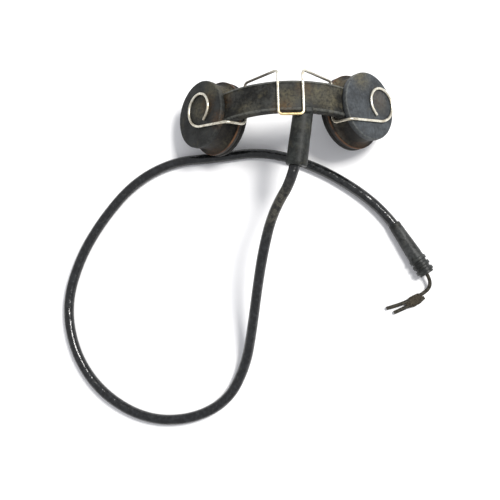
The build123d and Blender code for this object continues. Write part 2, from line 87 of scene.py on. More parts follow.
# ---- the arched band ----
ARCH_Z = 3.984
BAND_R = 48.9
BAND_WIDE = 17.5
BAND_THICK = 6.5
BAND_TAIL = 6.0
BAND_CORNER = 1.8
BAND_STEP = 1.0
TAIL_STEPS = 5
FACE_BORDER = 1.3
FACE_SLOPE = 0.6
FACE_SUNK = 0.35
CUTTER_ABOVE = 1.0
CUTTER_DEEP = 20.0

# ---- the boot and the lip by which it holds the band's face ----
BOOT_ANGLE = 15.7
BOOT_ROOT_RADIUS = 43.2
BOOT_ROOT_Y = -4.0
BOOT_RUN = Vector((-5.35, -33.4, -3.3))
BOOT_ROOT_R = 5.7
BOOT_WAIST = 6.0
BOOT_END_R = 6.1
BOOT_EDGE = 0.8
# The boot's swelling before its end, as (added to the end's radius, height from the end).
BOOT_END_OUTLINE = [(-0.05, -5.0), (0.1, -1.6)]
BOOT_MOUTH_WIDER = 0.35
BOOT_BORE_DEEP = 20.0
BOOT_VOXEL = 0.3
LIP_LONG = 4.4
LIP_ACROSS = 3.6
LIP_TALL = 4.0
LIP_RISE = 0.8
LIP_ANGLE = 16.93
LIP_Y = -8.15

# ---- the cord: its route runs from the boot round to the sleeve ----
CORD_R = 3.0
CORD_GRIP = 16.0
CORD_PAST_BOOT = 5.0
CORD_BEFORE_SLEEVE = 6.0
CORD_SWELL = (1.0, 1.02, 0.97, 1.03, 0.98, 1.0, 1.03)
CORD_ROUTE = [
    (-7.5, -62.0, 38.2),
    (-14.0, -84.0, 32.8),
    (-18.5, -106.0, 25.0),
    (-22.5, -127.0, 14.5),
    (-27.5, -148.0, 4.0),
    (-38.5, -169.0, 3.0),
    (-61.0, -180.0, 3.0),
    (-89.0, -179.5, 3.0),
    (-116.0, -164.0, 3.0),
    (-133.0, -140.0, 3.0),
    (-139.0, -110.0, 3.0),
    (-131.0, -81.0, 3.0),
    (-116.0, -56.0, 3.0),
    (-96.0, -33.5, 3.0),
    (-71.0, -21.0, 3.0),
    (-45.0, -20.2, 3.0),
    (-14.0, -16.8, 3.0),
    (16.0, -27.0, 3.0),
    (42.0, -43.0, 3.0),
]

# ---- the ribbed sleeve, the cut leads and their tape ----
SLEEVE_START = Vector((63.6, -65.9, 3.8))
SLEEVE_TURN = -60.0
SLEEVE_LONG = 24.5
SLEEVE_START_R = 3.6
SLEEVE_END_R = 4.6
SLEEVE_GRIP = 8.0
SLEEVE_EDGE = 0.2
SLEEVE_EDGE_LONG = 0.25
COLLAR_R = 5.2
COLLAR_GROOVE_R = 4.3
COLLAR_WIDE = 2.3
COLLAR_EDGE = 0.5
COLLAR_COUNT = 3
COLLAR_PITCH = 3.7
SLEEVE_WHOLE = SLEEVE_LONG + COLLAR_COUNT * COLLAR_PITCH
CUT_LEAD_R = 1.1
LEAD_OUT = 2.5
LEAD_GRIP = 3.8
LEAD_SWELL = (1.0, 0.94, 1.05, 0.97, 1.03)
LONG_LEAD = [
    (83.2, -104.6, 2.6),
    (78.2, -108.6, 1.6),
    (71.5, -111.6, 1.6),
    (64.6, -114.4, 1.5),
    (57.1, -116.3, 1.3),
]
SHORT_LEAD = [
    (79.6, -110.4, 1.8),
    (73.8, -113.7, 1.6),
    (67.5, -116.4, 1.5),
    (61.4, -119.0, 1.2),
]
TAPE_CENTRE = Vector((73.6, -112.2, 1.6))
TAPE_TURN = -152.0
TAPE_LONG = 11.0
TAPE_WIDE = 6.4
TAPE_TALL = 3.2
# The tape's outline, as (share of half its width, share of half its length).
TAPE_OUTLINE = [(0, -1), (0.55, -1), (0.9, -0.7), (1, -0.2), (0.92, 0.35), (0.8, 0.7), (0.5, 1), (0, 1)]


# ---- places ----
def capsule_place(side):
    """A capsule's own frame: z is out of its outer face, side * x runs down the face."""
    move = Matrix.Translation((side * CAPSULE_X * MM, 0, CAPSULE_Z * MM))
    return move @ Matrix.Rotation(radians(side * TILT), 4, "Y")


def arch_point(radius, angle, across):
    """A point on the arch, at a radius from its axis and an angle from its crown, in mm."""
    a = radians(angle)
    return Vector((radius * sin(a), across, ARCH_Z + radius * cos(a)))


BOOT_ROOT = arch_point(BOOT_ROOT_RADIUS, BOOT_ANGLE, BOOT_ROOT_Y)
BOOT_END = BOOT_ROOT + BOOT_RUN
BOOT_AXIS = BOOT_RUN.normalized()
SLEEVE_RISE = (COLLAR_R - SLEEVE_START.z) / SLEEVE_WHOLE
SLEEVE_AXIS = Vector(
    (cos(radians(SLEEVE_TURN)), sin(radians(SLEEVE_TURN)), SLEEVE_RISE)
).normalized()


# ---- ways of working ----
def clear_selection():
    """Leaves edit mode and selects nothing."""
    if bpy.context.object and bpy.context.object.mode != "OBJECT":
        bpy.ops.object.mode_set(mode="OBJECT")
    bpy.ops.object.select_all(action="DESELECT")


def take(piece):
    """Makes one object the only one selected."""
    clear_selection()
    piece.select_set(True)
    bpy.context.view_layer.objects.active = piece


def settle(piece, place=Matrix.Identity(4)):
    """Puts a piece in its place and leaves the place in its mesh."""
    take(piece)
    piece.matrix_world = place @ piece.matrix_world
    bpy.ops.object.transform_apply(location=True, rotation=True, scale=True)


def apply_modifier(piece, kind, **settings):
    """Adds one modifier and applies it."""
    take(piece)
    modifier = piece.modifiers.new(kind.title(), kind)
    for name, value in settings.items():
        setattr(modifier, name, value)
    bpy.ops.object.modifier_apply(modifier=modifier.name)


def smooth(piece, angle):
    """Smooth shading, with edges sharper than an angle kept sharp."""
    take(piece)
    bpy.ops.object.shade_smooth_by_angle(angle=radians(angle))


def uneven(piece, height, size):
    """Gives a moulded surface the slight waviness of old rubber."""
    texture = bpy.data.textures.new(f"{piece.name}_wave", "CLOUDS")
    texture.noise_scale = size * MM
    apply_modifier(piece, "DISPLACE", texture=texture, strength=height * MM, mid_level=0.5)


def cut_away(piece, cutter):
    """Takes one closed shape out of another, and removes the cutter."""
    apply_modifier(piece, "BOOLEAN", object=cutter, operation="DIFFERENCE", solver="EXACT")
    bpy.data.objects.remove(cutter)


def finish_piece(piece, body, material, node):
    """Gives a piece its finish and body, and hides the node it stands for. A piece given no body is left
    unattached.
    """
    piece.data.materials.clear()
    piece.data.materials.append(material)
    if body:
        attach(piece, body)
    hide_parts(node)


def arc(centre, radius, start, end, steps):
    """Points on an arc in a turned outline, as (radius, height), angles in degrees."""
    points = []
    for i in range(steps + 1):
        a = radians(start + (end - start) * i / steps)
        points.append((centre[0] + radius * cos(a), centre[1] + radius * sin(a)))
    return points


def divided(outline, longest):
    """An outline with its long runs divided, so that a surface can be uneven."""
    points = [outline[0]]
    for (r0, z0), (r1, z1) in zip(outline, outline[1:]):
        parts = max(1, round(((r1 - r0) ** 2 + (z1 - z0) ** 2) ** 0.5 / longest))
        points += [(r0 + (r1 - r0) * i / parts, z0 + (z1 - z0) * i / parts) for i in range(1, parts + 1)]
    return points


POLE_R = 0.004


def turned(name, outline, longest, around=144):
    """A piece turned about Z: a ring is extruded from each (radius, height) corner to the next.
    A corner on the axis is a tiny ring, whose corners are merged at the end."""
    outline = [(max(r, POLE_R), z) for r, z in divided(outline, longest)]
    clear_selection()
    radius, height = outline[0]
    bpy.ops.mesh.primitive_circle_add(vertices=around, radius=radius * MM)
    piece = bpy.context.object
    piece.name = name
    bpy.ops.object.mode_set(mode="EDIT")
    bpy.ops.mesh.select_all(action="SELECT")
    bpy.ops.transform.translate(value=(0, 0, height * MM))
    for next_radius, next_height in outline[1:]:
        bpy.ops.mesh.extrude_edges_move()
        bpy.ops.transform.translate(value=(0, 0, (next_height - height) * MM))
        scale = next_radius / radius
        centre = (0, 0, next_height * MM)
        bpy.ops.transform.resize(value=(scale, scale, 1), center_override=centre)
        radius, height = next_radius, next_height
    bpy.ops.mesh.select_all(action="SELECT")
    bpy.ops.mesh.remove_doubles(threshold=2 * POLE_R * MM)
    bpy.ops.mesh.normals_make_consistent(inside=False)
    bpy.ops.object.mode_set(mode="OBJECT")
    return piece


# ---- finishes ----
class Finish:
    """A material under construction: each method adds a node and returns its output."""

    def __init__(self, name):
        self.material = bpy.data.materials.new(name)
        self.material.use_nodes = True
        self.tree = self.material.node_tree
        self.shader = self.tree.nodes["Principled BSDF"]
        self.where = self.tree.nodes.new("ShaderNodeTexCoord").outputs["Object"]

    def node(self, kind, inputs=(), **settings):
        """Adds a node with these inputs and settings."""
        made = self.tree.nodes.new(kind)
        for name, value in settings.items():
            setattr(made, name, value)
        for name, value in dict(inputs).items():
            self.set(made.inputs[name], value)
        return made

    def set(self, socket, value):
        """Links an output to a socket, or gives the socket a plain value."""
        if isinstance(value, bpy.types.NodeSocket):
            self.tree.links.new(value, socket)
        else:
            socket.default_value = value

    def noise(self, size, detail=3.0, rough=0.55, stretch=(1, 1, 1), turn=(0, 0, 0)):
        """Noise whose patches are about size mm across, longer along a stretched axis."""
        scale = tuple(1 / s for s in stretch)
        spread = self.node("ShaderNodeMapping", {"Vector": self.where, "Scale": scale, "Rotation": turn})
        inputs = {
            "Vector": spread.outputs["Vector"],
            "Scale": 1 / (size * MM),
            "Detail": detail,
            "Roughness": rough,
        }
        return self.node("ShaderNodeTexNoise", inputs).outputs["Fac"]

    def between(self, value, low, high, out_low=0.0, out_high=1.0):
        """A smooth step from low to high."""
        inputs = {"Value": value, "From Min": low, "From Max": high, "To Min": out_low, "To Max": out_high}
        made = self.node("ShaderNodeMapRange", inputs, interpolation_type="SMOOTHSTEP")
        return made.outputs["Result"]

    def calculate(self, operation, a, b=0.0):
        """One calculation, whose result is kept between 0 and 1."""
        made = self.node("ShaderNodeMath", operation=operation, use_clamp=True)
        self.set(made.inputs[0], a)
        self.set(made.inputs[1], b)
        return made.outputs["Value"]

    def sum(self, a, b):
        """Either of two shares, or both together."""
        return self.calculate("ADD", a, b)

    def both(self, a, b):
        """Only where both shares are."""
        return self.calculate("MULTIPLY", a, b)

    def mix(self, share, a, b):
        """Colour a turning to colour b."""
        made = self.node("ShaderNodeMix", data_type="RGBA")
        self.set(made.inputs["Factor"], share)
        self.set(made.inputs[6], a if isinstance(a, bpy.types.NodeSocket) else (*a, 1))
        self.set(made.inputs[7], b if isinstance(b, bpy.types.NodeSocket) else (*b, 1))
        return made.outputs[2]

    def near(self, point, inner, outer):
        """1 within inner mm of a point, falling to 0 at outer mm."""
        at = tuple(c * MM for c in point)
        made = self.node("ShaderNodeVectorMath", {0: self.where, 1: at}, operation="DISTANCE")
        return self.between(made.outputs["Value"], inner * MM, outer * MM, 1.0, 0.0)

    def far(self, point, inner, outer):
        """0 within inner mm of a point, rising to 1 at outer mm."""
        return self.calculate("SUBTRACT", 1.0, self.near(point, inner, outer))

    def axis(self, name):
        """How far along one axis."""
        return self.node("ShaderNodeSeparateXYZ", {0: self.where}).outputs[name]

    def bump(self, height, depth, before=None):
        """A bump of a depth in mm on top of another one."""
        made = self.node("ShaderNodeBump", {"Height": height, "Distance": depth * MM, "Strength": 1.0})
        if before:
            self.set(made.inputs["Normal"], before)
        return made.outputs["Normal"]

    def done(self, colour, roughness, normal=None, metallic=0.0, specular=0.5):
        """Sets the shader up and returns the material."""
        self.set(self.shader.inputs["Base Color"], colour)
        self.set(self.shader.inputs["Roughness"], roughness)
        self.set(self.shader.inputs["Metallic"], metallic)
        self.set(self.shader.inputs["Specular IOR Level"], specular)
        if normal:
            self.set(self.shader.inputs["Normal"], normal)
        return self.material


# ---- the colours of the finishes, and where they are dusty, stained or tarnished, and where edges are lightened by rubbed wear and a painted highlight ----
DUST = (0.11, 0.098, 0.062)
RUST_STAIN = (0.085, 0.042, 0.014)
# The grey of lightened edges: partly rubbed wear, partly a painted highlight along rounded edges.
EDGE_WEAR_AND_HIGHLIGHT_GREY = (0.17, 0.175, 0.16)
NICKEL = (0.8, 0.77, 0.66)
DULL_NICKEL = (0.42, 0.37, 0.28)
WIRE_SPOTS = (0.14, 0.1, 0.06)
TARNISH = (0.13, 0.11, 0.09)
GOLD = (0.78, 0.58, 0.26)
RUST_DARK = (0.02, 0.014, 0.01)
RUST_BROWN = (0.13, 0.058, 0.022)
RUST_PALE = (0.3, 0.2, 0.11)
CORD_BLACK = (0.003, 0.0034, 0.0038)
CORD_GREY = (0.013, 0.0145, 0.016)
TAPE_BLACK = (0.010, 0.009, 0.007)
TAPE_BROWN = (0.085, 0.072, 0.05)
RUBBER_SPECULAR = 0.18
CORD_SPECULAR = 0.5
METAL_SHARE = 0.9
RUSTY_METAL_SHARE = 0.25
LIGHTER = 2.2
# A patch is (place, the distance within which it is full, the distance at which it is gone, share).
BAND_DUST_PATCHES = [
    ((31.0, 8.0, 40.0), 1.0, 7.0, 0.5),
    ((-31.0, 8.0, 40.0), 1.0, 7.0, 0.35),
    ((2.0, -2.0, 53.0), 3.0, 9.0, 0.55),
    ((14.0, 2.0, 51.0), 2.0, 8.0, 0.45),
    ((-20.0, -8.0, 48.0), 2.0, 10.0, 0.3),
    ((24.0, 0.0, 46.0), 4.0, 10.0, 0.45),
]
LEFT_CAP_PATCHES = [
    ((-41.0, 12.0, 37.0), 2.0, 10.0, 0.55),
    ((-50.0, 3.0, 29.5), 3.0, 10.0, 0.5),
]
RIGHT_CAP_PATCHES = [
    ((44.0, 16.0, 33.0), 2.0, 11.0, 0.7),
    ((57.0, 3.0, 23.5), 3.0, 10.0, 0.25),
]
CUP_PATCHES = [
    ((31.0, 14.0, 34.0), 2.0, 12.0, 0.9),
    ((-31.0, 14.0, 34.0), 2.0, 12.0, 0.7),
    ((-34.0, -14.0, 22.0), 2.0, 10.0, 0.4),
]
CUP_STAINS = [
    ((-30.0, -10.0, 17.0), 3.0, 12.0, 0.75),
    ((-42.0, -20.0, 16.0), 2.0, 10.0, 0.5),
    ((32.0, -10.0, 20.0), 3.0, 12.0, 0.8),
    ((42.0, -19.0, 14.0), 3.0, 11.0, 0.65),
    ((30.0, 12.0, 30.0), 2.0, 10.0, 0.4),
]
CAP_STAINS = [
    ((-44.0, 4.0, 34.0), 2.0, 9.0, 0.45),
    ((-38.0, -8.0, 40.0), 2.0, 8.0, 0.5),
    ((56.0, 6.0, 24.0), 3.0, 9.0, 0.25),
]
BAND_STAINS = [
    ((12.0, 4.0, 51.0), 1.0, 7.0, 0.4),
    ((0.0, -8.5, 52.0), 2.0, 9.0, 0.5),
    ((-32.0, 3.0, 40.0), 1.0, 7.0, 0.35),
]
BOOT_PATCHES = [((10.0, -16.0, 43.0), 2.0, 9.0, 0.4)]
CORD_PATCH = ((-8.0, -58.0, 38.0), 6.0, 22.0, 0.28)
GOLD_PATCHES = [((4.5, -9.3, 52.0), 5.0, 9.0, 0.85)]
TARNISH_PATCHES = [
    ((-16.0, 17.0, 45.0), 9.0, 15.0, 0.9),
    ((26.0, 17.0, 45.0), 8.0, 18.0, 0.5),
]


def worn_rubber(name, dark, light, dusty, patches=(), stains=(), edge=None, edge_wear_and_highlight=0.4, shine=0.62):
    """Old moulded rubber: mottled, with dust in patches, rust stains, scuffs and an edge lightened partly
    by rubbing and partly by a painted highlight.
    """
    f = Finish(name)
    broad = f.noise(size=9.0, detail=4.0)
    mottle = f.noise(size=1.6, detail=5.0, rough=0.7)
    grain = f.noise(size=0.35, detail=2.0)
    rubbed = f.between(f.sum(f.both(broad, 0.5), f.both(mottle, 0.5)), 0.4, 0.64)
    colour = f.mix(rubbed, dark, light)
    specks = f.between(f.noise(size=0.7, rough=0.7), 0.52, 0.72)
    more = 0.2 * dusty
    cloud = f.between(f.noise(size=5.0, detail=5.0, rough=0.65), 0.62 - more, 0.86 - more)
    settled = f.both(f.sum(cloud, f.both(specks, 0.5)), 0.75 * dusty)
    for point, inner, outer, amount in patches:
        patch = f.both(f.near(point, inner, outer), f.between(mottle, 0.3, 0.62))
        settled = f.sum(settled, f.both(patch, amount))
    colour = f.mix(settled, colour, DUST)
    for point, inner, outer, amount in stains:
        blotches = f.between(f.noise(size=1.3, detail=5.0, rough=0.75), 0.36, 0.6)
        patch = f.both(f.near(point, inner, outer), blotches)
        colour = f.mix(f.both(patch, amount), colour, RUST_STAIN)
    # Lightens the given edge: partly rubbed wear, partly a painted highlight.
    if edge:
        edge_wear_and_highlight_mask = f.both(edge(f), f.between(mottle, 0.3, 0.6, 0.25, 1.0))
        colour = f.mix(f.both(edge_wear_and_highlight_mask, edge_wear_and_highlight), colour, EDGE_WEAR_AND_HIGHLIGHT_GREY)
    lines = f.noise(size=1.1, detail=2.0, rough=0.5, stretch=(1, 14, 1), turn=(0, 0, 0.7))
    scuffs = f.between(lines, 0.66, 0.74)
    colour = f.mix(f.both(scuffs, 0.22), colour, tuple(LIGHTER * c for c in light))
    roughness = f.between(f.sum(mottle, settled), 0.2, 1.2, shine - 0.1, shine + 0.2)
    normal = f.bump(broad, 0.2)
    normal = f.bump(mottle, 0.12, normal)
    normal = f.bump(grain, 0.04, normal)
    return f.done(colour, roughness, normal, specular=RUBBER_SPECULAR)


def cap_edge_wear_and_highlight(side):
    """Where a cap's round edge is rubbed and carries a painted highlight: 1 close to the rim of its face.
    """
    centre = (side * CAPSULE_X, 0, CAPSULE_Z)

    def edge(f):
        return f.both(f.near(centre, CAP_R - 0.2, CAP_R + 0.3), f.far(centre, CAP_R - 0.9, CAP_R - 0.4))

    return edge


def band_edge_wear_and_highlight(f):
    """Where the band's raised borders are rubbed and carry a painted highlight: 1 along both long edges of
    its face.
    """
    across = f.calculate("ABSOLUTE", f.axis("Y"))
    edge = BAND_WIDE / 2
    inner_side = f.between(across, (edge - 1.9) * MM, (edge - 1.2) * MM)
    outer_side = f.between(across, (edge - 0.7) * MM, (edge - 0.1) * MM, 1.0, 0.0)
    return f.both(inner_side, outer_side)


def sprung_wire(name, tarnish_patches=(), gold_patches=()):
    """Nickel-plated spring wire, dulled and browned with age."""
    f = Finish(name)
    streaks = f.noise(size=1.4, detail=4.0, rough=0.65)
    broad = f.noise(size=7.0)
    dull = f.between(f.sum(f.both(broad, 0.6), f.both(streaks, 0.4)), 0.4, 0.66)
    colour = f.mix(dull, NICKEL, DULL_NICKEL)
    spots = f.between(f.noise(size=0.8, rough=0.7), 0.56, 0.7)
    colour = f.mix(f.both(spots, 0.75), colour, WIRE_SPOTS)
    for patches, tint in ((tarnish_patches, TARNISH), (gold_patches, GOLD)):
        for point, inner, outer, amount in patches:
            colour = f.mix(f.both(f.near(point, inner, outer), amount), colour, tint)
    roughness = f.between(streaks, 0.3, 0.75, 0.24, 0.5)
    return f.done(colour, roughness, f.bump(streaks, 0.03), metallic=METAL_SHARE)


def rusty_metal(name):
    """Lacquered steel whose bare edge has rusted brown."""
    f = Finish(name)
    scale = f.noise(size=1.2, detail=5.0, rough=0.7)
    broad = f.noise(size=6.0)
    rust = f.between(f.sum(f.both(broad, 0.6), f.both(scale, 0.4)), 0.38, 0.6)
    colour = f.mix(rust, RUST_DARK, RUST_BROWN)
    bright = f.between(f.noise(size=0.6, rough=0.7), 0.6, 0.72)
    colour = f.mix(f.both(bright, 0.5), colour, RUST_PALE)
    roughness = f.between(scale, 0.2, 0.8, 0.5, 0.85)
    return f.done(colour, roughness, f.bump(scale, 0.08), metallic=RUSTY_METAL_SHARE)


def plain_metal(name, colour, worn):
    """A bare or plated metal with fine marks."""
    f = Finish(name)
    marks = f.noise(size=0.8, detail=4.0, rough=0.7)
    shade = f.mix(f.between(marks, 0.35, 0.7), colour, worn)
    roughness = f.between(marks, 0.3, 0.8, 0.35, 0.6)
    return f.done(shade, roughness, f.bump(marks, 0.02), metallic=METAL_SHARE)


def plain_moulding(name, colour, worn):
    """A plastic or wound piece that hardly shows."""
    f = Finish(name)
    marks = f.noise(size=1.0, detail=4.0, rough=0.6)
    shade = f.mix(f.between(marks, 0.35, 0.7), colour, worn)
    roughness = f.between(marks, 0.3, 0.8, 0.5, 0.7)
    return f.done(shade, roughness, f.bump(marks, 0.03), specular=RUBBER_SPECULAR)


def cord_jacket(name):
    """A thick rubber cord jacket, half glossy, lumpy, and dusty near the boot."""
    f = Finish(name)
    lumps = f.noise(size=5.0, detail=2.0, rough=0.4)
    ripple = f.noise(size=2.2, rough=0.5)
    grain = f.noise(size=0.5, rough=0.6)
    colour = f.mix(f.between(ripple, 0.4, 0.7), CORD_BLACK, CORD_GREY)
    flecks = f.between(f.noise(size=1.0, detail=4.0, rough=0.7), 0.57, 0.7)
    point, inner, outer, amount = CORD_PATCH
    patch = f.both(f.near(point, inner, outer), f.between(ripple, 0.3, 0.6))
    settled = f.sum(f.both(flecks, 0.22), f.both(patch, amount))
    colour = f.mix(settled, colour, DUST)
    roughness = f.between(f.sum(f.both(grain, 0.6), f.both(settled, 0.6)), 0.2, 0.9, 0.16, 0.5)
    normal = f.bump(lumps, 0.5)
    normal = f.bump(ripple, 0.12, normal)
    normal = f.bump(grain, 0.02, normal)
    return f.done(colour, roughness, normal, specular=CORD_SPECULAR)


def wrapped_tape(name):
    """Old insulating tape, fibrous and dirty."""
    f = Finish(name)
    fibre = f.noise(size=0.7, detail=5.0, rough=0.75)
    colour = f.mix(f.between(fibre, 0.35, 0.7), TAPE_BLACK, TAPE_BROWN)
    return f.done(colour, 0.9, f.bump(fibre, 0.3), specular=RUBBER_SPECULAR)


# ---- camera ----
CAMERA_PLACE = Vector((9.49, -130.81, 396.52))
CAMERA_TILT = 0.131
CAMERA_PAN = 0.0844
CAMERA_ROLL = -0.0206
CAMERA_LENS = 46.8


def camera():
    """Looks down on the headset from its front, high up."""
    data = bpy.data.cameras.new("camera")
    data.lens = CAMERA_LENS
    data.clip_start = 0.01
    made = bpy.data.objects.new("camera", data)
    bpy.context.scene.collection.objects.link(made)
    turn = Matrix.Rotation(CAMERA_PAN, 4, "Y") @ Matrix.Rotation(CAMERA_TILT, 4, "X")
    turn = turn @ Matrix.Rotation(CAMERA_ROLL, 4, "Z")
    made.matrix_world = Matrix.Translation(CAMERA_PLACE * MM) @ turn
    bpy.context.scene.camera = made


camera()


# ---- cord ----
def smooth_tube(name, points, radius, swell):
    """A round tube along a smooth line with these control points, in mm. Its thickness varies a little."""
    curve = bpy.data.curves.new(name, "CURVE")
    curve.dimensions = "3D"
    curve.bevel_depth = radius * MM
    curve.bevel_resolution = 8
    curve.resolution_u = 16
    curve.use_fill_caps = True
    spline = curve.splines.new("NURBS")
    spline.points.add(len(points) - 1)
    for i, (knot, point) in enumerate(zip(spline.points, points)):
        knot.co = (*(Vector(point) * MM), 1)
        knot.radius = swell[i % len(swell)]
    spline.order_u = 3
    spline.use_endpoint_u = True
    made = bpy.data.objects.new(name, curve)
    bpy.context.scene.collection.objects.link(made)
    return made


def cord_points():
    """The cord's control points, from inside the boot to inside the end sleeve."""
    start = BOOT_END - BOOT_AXIS * CORD_GRIP
    leaves = BOOT_END + BOOT_AXIS * CORD_PAST_BOOT
    arrives = SLEEVE_START - SLEEVE_AXIS * CORD_BEFORE_SLEEVE
    end = SLEEVE_START + SLEEVE_AXIS * SLEEVE_GRIP
    return [start, leaves, *CORD_ROUTE, arrives, end]


cord = smooth_tube("headset_cord", cord_points(), CORD_R, CORD_SWELL)
finish_piece(cord, "band", cord_jacket("cord_jacket"), "cord")


# ---- capsule pieces ----
def cap_outline():
    """Flat disc with a rounded edge, slightly dished by its moulding, and its spigot."""
    dish = [(CAP_R * share, height) for share, height in CAP_DISH]
    rim = arc((CAP_R - CAP_EDGE, -CAP_EDGE), CAP_EDGE, 90, 0, steps=6)
    foot = arc((CAP_R - CAP_FOOT, -CAP_THICK + CAP_FOOT), CAP_FOOT, 0, -90, steps=3)
    spigot_end = -CAP_THICK - SPIGOT_LONG
    spigot = [(SPIGOT_R, -CAP_THICK), (SPIGOT_R, spigot_end), (0, spigot_end)]
    return [*dish, *rim, *foot, *spigot]


def cap(name, side, finish):
    """Rubber cap over a capsule's outer face."""
    piece = turned(f"{name}_rubber_cap", cap_outline(), longest=1.0)
    uneven(piece, height=0.18, size=9.0)
    settle(piece, capsule_place(side))
    smooth(piece, angle=40)
    finish_piece(piece, f"{name}_capsule", finish, f"{name}_cap_cover")


def cup_wall(grow=0.0):
    """The cup's outside from its mouth down its hollow flare, as (radius, height)."""
    centre = (BODY_R + FLARE_FILLET, -(BODY_DEPTH - FLARE_LIP - FLARE_FILLET))
    flare = arc(centre, FLARE_FILLET - grow, 180, 270, FLARE_STEPS)
    return [(BODY_R + grow, -BODY_TOP + grow), *flare]


def cup(name, side, finish):
    """Rubber cup of a capsule, with its hollow flare and thin lip."""
    lip_r = BODY_R + FLARE_FILLET
    lip = arc((lip_r - LIP_ROUND, -BODY_DEPTH + LIP_ROUND), LIP_ROUND, 0, -90, steps=2)
    inner = [(CAN_CLEAR_R, -BODY_DEPTH), (CAN_CLEAR_R, -CAN_TOP_DEPTH), (SPIGOT_R + GAP, -CAN_TOP_DEPTH)]
    mouth = [(SPIGOT_R + GAP, -BODY_TOP), (BODY_R, -BODY_TOP)]
    piece = turned(f"{name}_rubber_cup", [*cup_wall(), *lip, *inner, *mouth], longest=0.9)
    uneven(piece, height=0.16, size=7.0)
    settle(piece, capsule_place(side))
    smooth(piece, angle=40)
    finish_piece(piece, f"{name}_capsule", finish, f"{name}_capsule_body")


def pad(name, side, finish):
    """Hard rubber contact pad with rounded edges and one ring groove."""
    top = -PAD_TOP
    face = -PAD_FACE
    e = PAD_EDGE
    groove_out = GROOVE_R + GROOVE_WIDE
    outline = [
        (0, face),
        (GROOVE_R, face),
        (GROOVE_R + GROOVE_SLOPE, face + GROOVE_DEEP),
        (groove_out - GROOVE_SLOPE, face + GROOVE_DEEP),
        (groove_out, face),
        *arc((PAD_R - e, face + e), e, -90, 0, steps=5),
        *arc((PAD_R - e, top - e), e, 0, 90, steps=5),
        (PAD_SPIGOT_R, top),
        (PAD_SPIGOT_R, top + PAD_SPIGOT_LONG),
        (0, top + PAD_SPIGOT_LONG),
    ]
    piece = turned(f"{name}_throat_pad", outline, longest=1.0)
    uneven(piece, height=0.06, size=6.0)
    settle(piece, capsule_place(side))
    smooth(piece, angle=30)
    finish_piece(piece, f"{name}_capsule", finish, f"{name}_contact_pad")


# ---- band ----
def band_section():
    """The band's cross-section, upright on the arch's crown, with the edges of its borders cut in."""
    clear_selection()
    bpy.ops.mesh.primitive_plane_add(size=1)
    piece = bpy.context.object
    piece.name = "rubber_band"
    piece.scale = (BAND_THICK * MM, BAND_WIDE * MM, 1)
    piece.rotation_euler = (0, radians(90), 0)
    piece.location = (0, 0, (ARCH_Z + BAND_R - BAND_THICK / 2) * MM)
    bpy.ops.object.transform_apply(location=True, rotation=True, scale=True)
    bpy.ops.object.mode_set(mode="EDIT")
    bpy.ops.mesh.select_all(action="SELECT")
    bpy.ops.mesh.bevel(affect="VERTICES", offset=BAND_CORNER * MM, segments=6, profile=0.5)
    edge = BAND_WIDE / 2
    for across in (edge - FACE_BORDER, edge - FACE_BORDER - FACE_SLOPE):
        for y in (-across, across):
            bpy.ops.mesh.select_all(action="SELECT")
            bpy.ops.mesh.bisect(plane_co=(0, y * MM, 0), plane_no=(0, 1, 0))
    bpy.ops.object.mode_set(mode="OBJECT")
    return piece


def select_where(piece, test):
    """Selects, in edit mode, the corners of a piece that pass a test, and only those."""
    bpy.ops.object.mode_set(mode="OBJECT")
    for face in piece.data.polygons:
        face.select = False
    for edge in piece.data.edges:
        edge.select = False
    for corner in piece.data.vertices:
        corner.select = test(corner.co)
    bpy.ops.object.mode_set(mode="EDIT")
    bpy.ops.mesh.select_mode(type="VERT")


def sink_face(piece):
    """Sinks the middle of the band's face below its raised borders."""
    across = BAND_WIDE / 2 - FACE_BORDER - FACE_SLOPE
    top = ARCH_Z + BAND_R
    select_where(piece, lambda co: abs(co.y) < (across + CLOSE) * MM and co.z > (top - CLOSE) * MM)
    bpy.ops.transform.translate(value=(0, 0, -FACE_SUNK * MM))
    bpy.ops.object.mode_set(mode="OBJECT")


def band_piece():
    """The whole band: a section spun along the arch, with a straight tail at each end."""
    piece = band_section()
    sink_face(piece)
    axis_at = Vector((0, 0, ARCH_Z * MM))
    to_left_end = Matrix.Rotation(radians(-TILT), 4, "Y")
    settle(piece, Matrix.Translation(axis_at) @ to_left_end @ Matrix.Translation(-axis_at))
    bpy.ops.object.mode_set(mode="EDIT")
    bpy.ops.mesh.select_all(action="SELECT")
    steps = round(2 * TILT / BAND_STEP)
    bpy.ops.mesh.spin(steps=steps, angle=-radians(2 * TILT), center=axis_at, axis=(0, 1, 0))
    bpy.ops.mesh.select_all(action="SELECT")
    bpy.ops.mesh.remove_doubles(threshold=MERGE)
    for side in SIDES.values():
        add_tail(piece, side)
    bpy.ops.mesh.select_all(action="SELECT")
    bpy.ops.mesh.normals_make_consistent(inside=False)
    bpy.ops.object.mode_set(mode="OBJECT")
    return piece


def add_tail(piece, side):
    """Draws the band's end out along its tangent, in short steps, to go under the capsule's cap."""
    tangent = Vector((side * cos(radians(TILT)), 0, -sin(radians(TILT))))
    end = arch_point(BAND_R, side * TILT, 0) * MM
    select_where(piece, lambda co: abs((co - end).dot(tangent)) < CLOSE * MM)
    for _ in range(TAIL_STEPS):
        bpy.ops.mesh.extrude_region_move()
        bpy.ops.transform.translate(value=tangent * (BAND_TAIL * MM / TAIL_STEPS))


def capsule_cutter(side):
    """The room that a capsule takes, with a clearance all round."""
    outline = [
        (0, CUTTER_ABOVE),
        (CAP_R + GAP, CUTTER_ABOVE),
        (CAP_R + GAP, -BODY_TOP),
        *cup_wall(GAP),
        (RIM_R + GAP, -BODY_DEPTH + FLARE_LIP),
        (RIM_R + GAP, -CUTTER_DEEP),
        (0, -CUTTER_DEEP),
    ]
    piece = turned("capsule_room", outline, longest=3.0, around=180)
    settle(piece, capsule_place(side))
    return piece


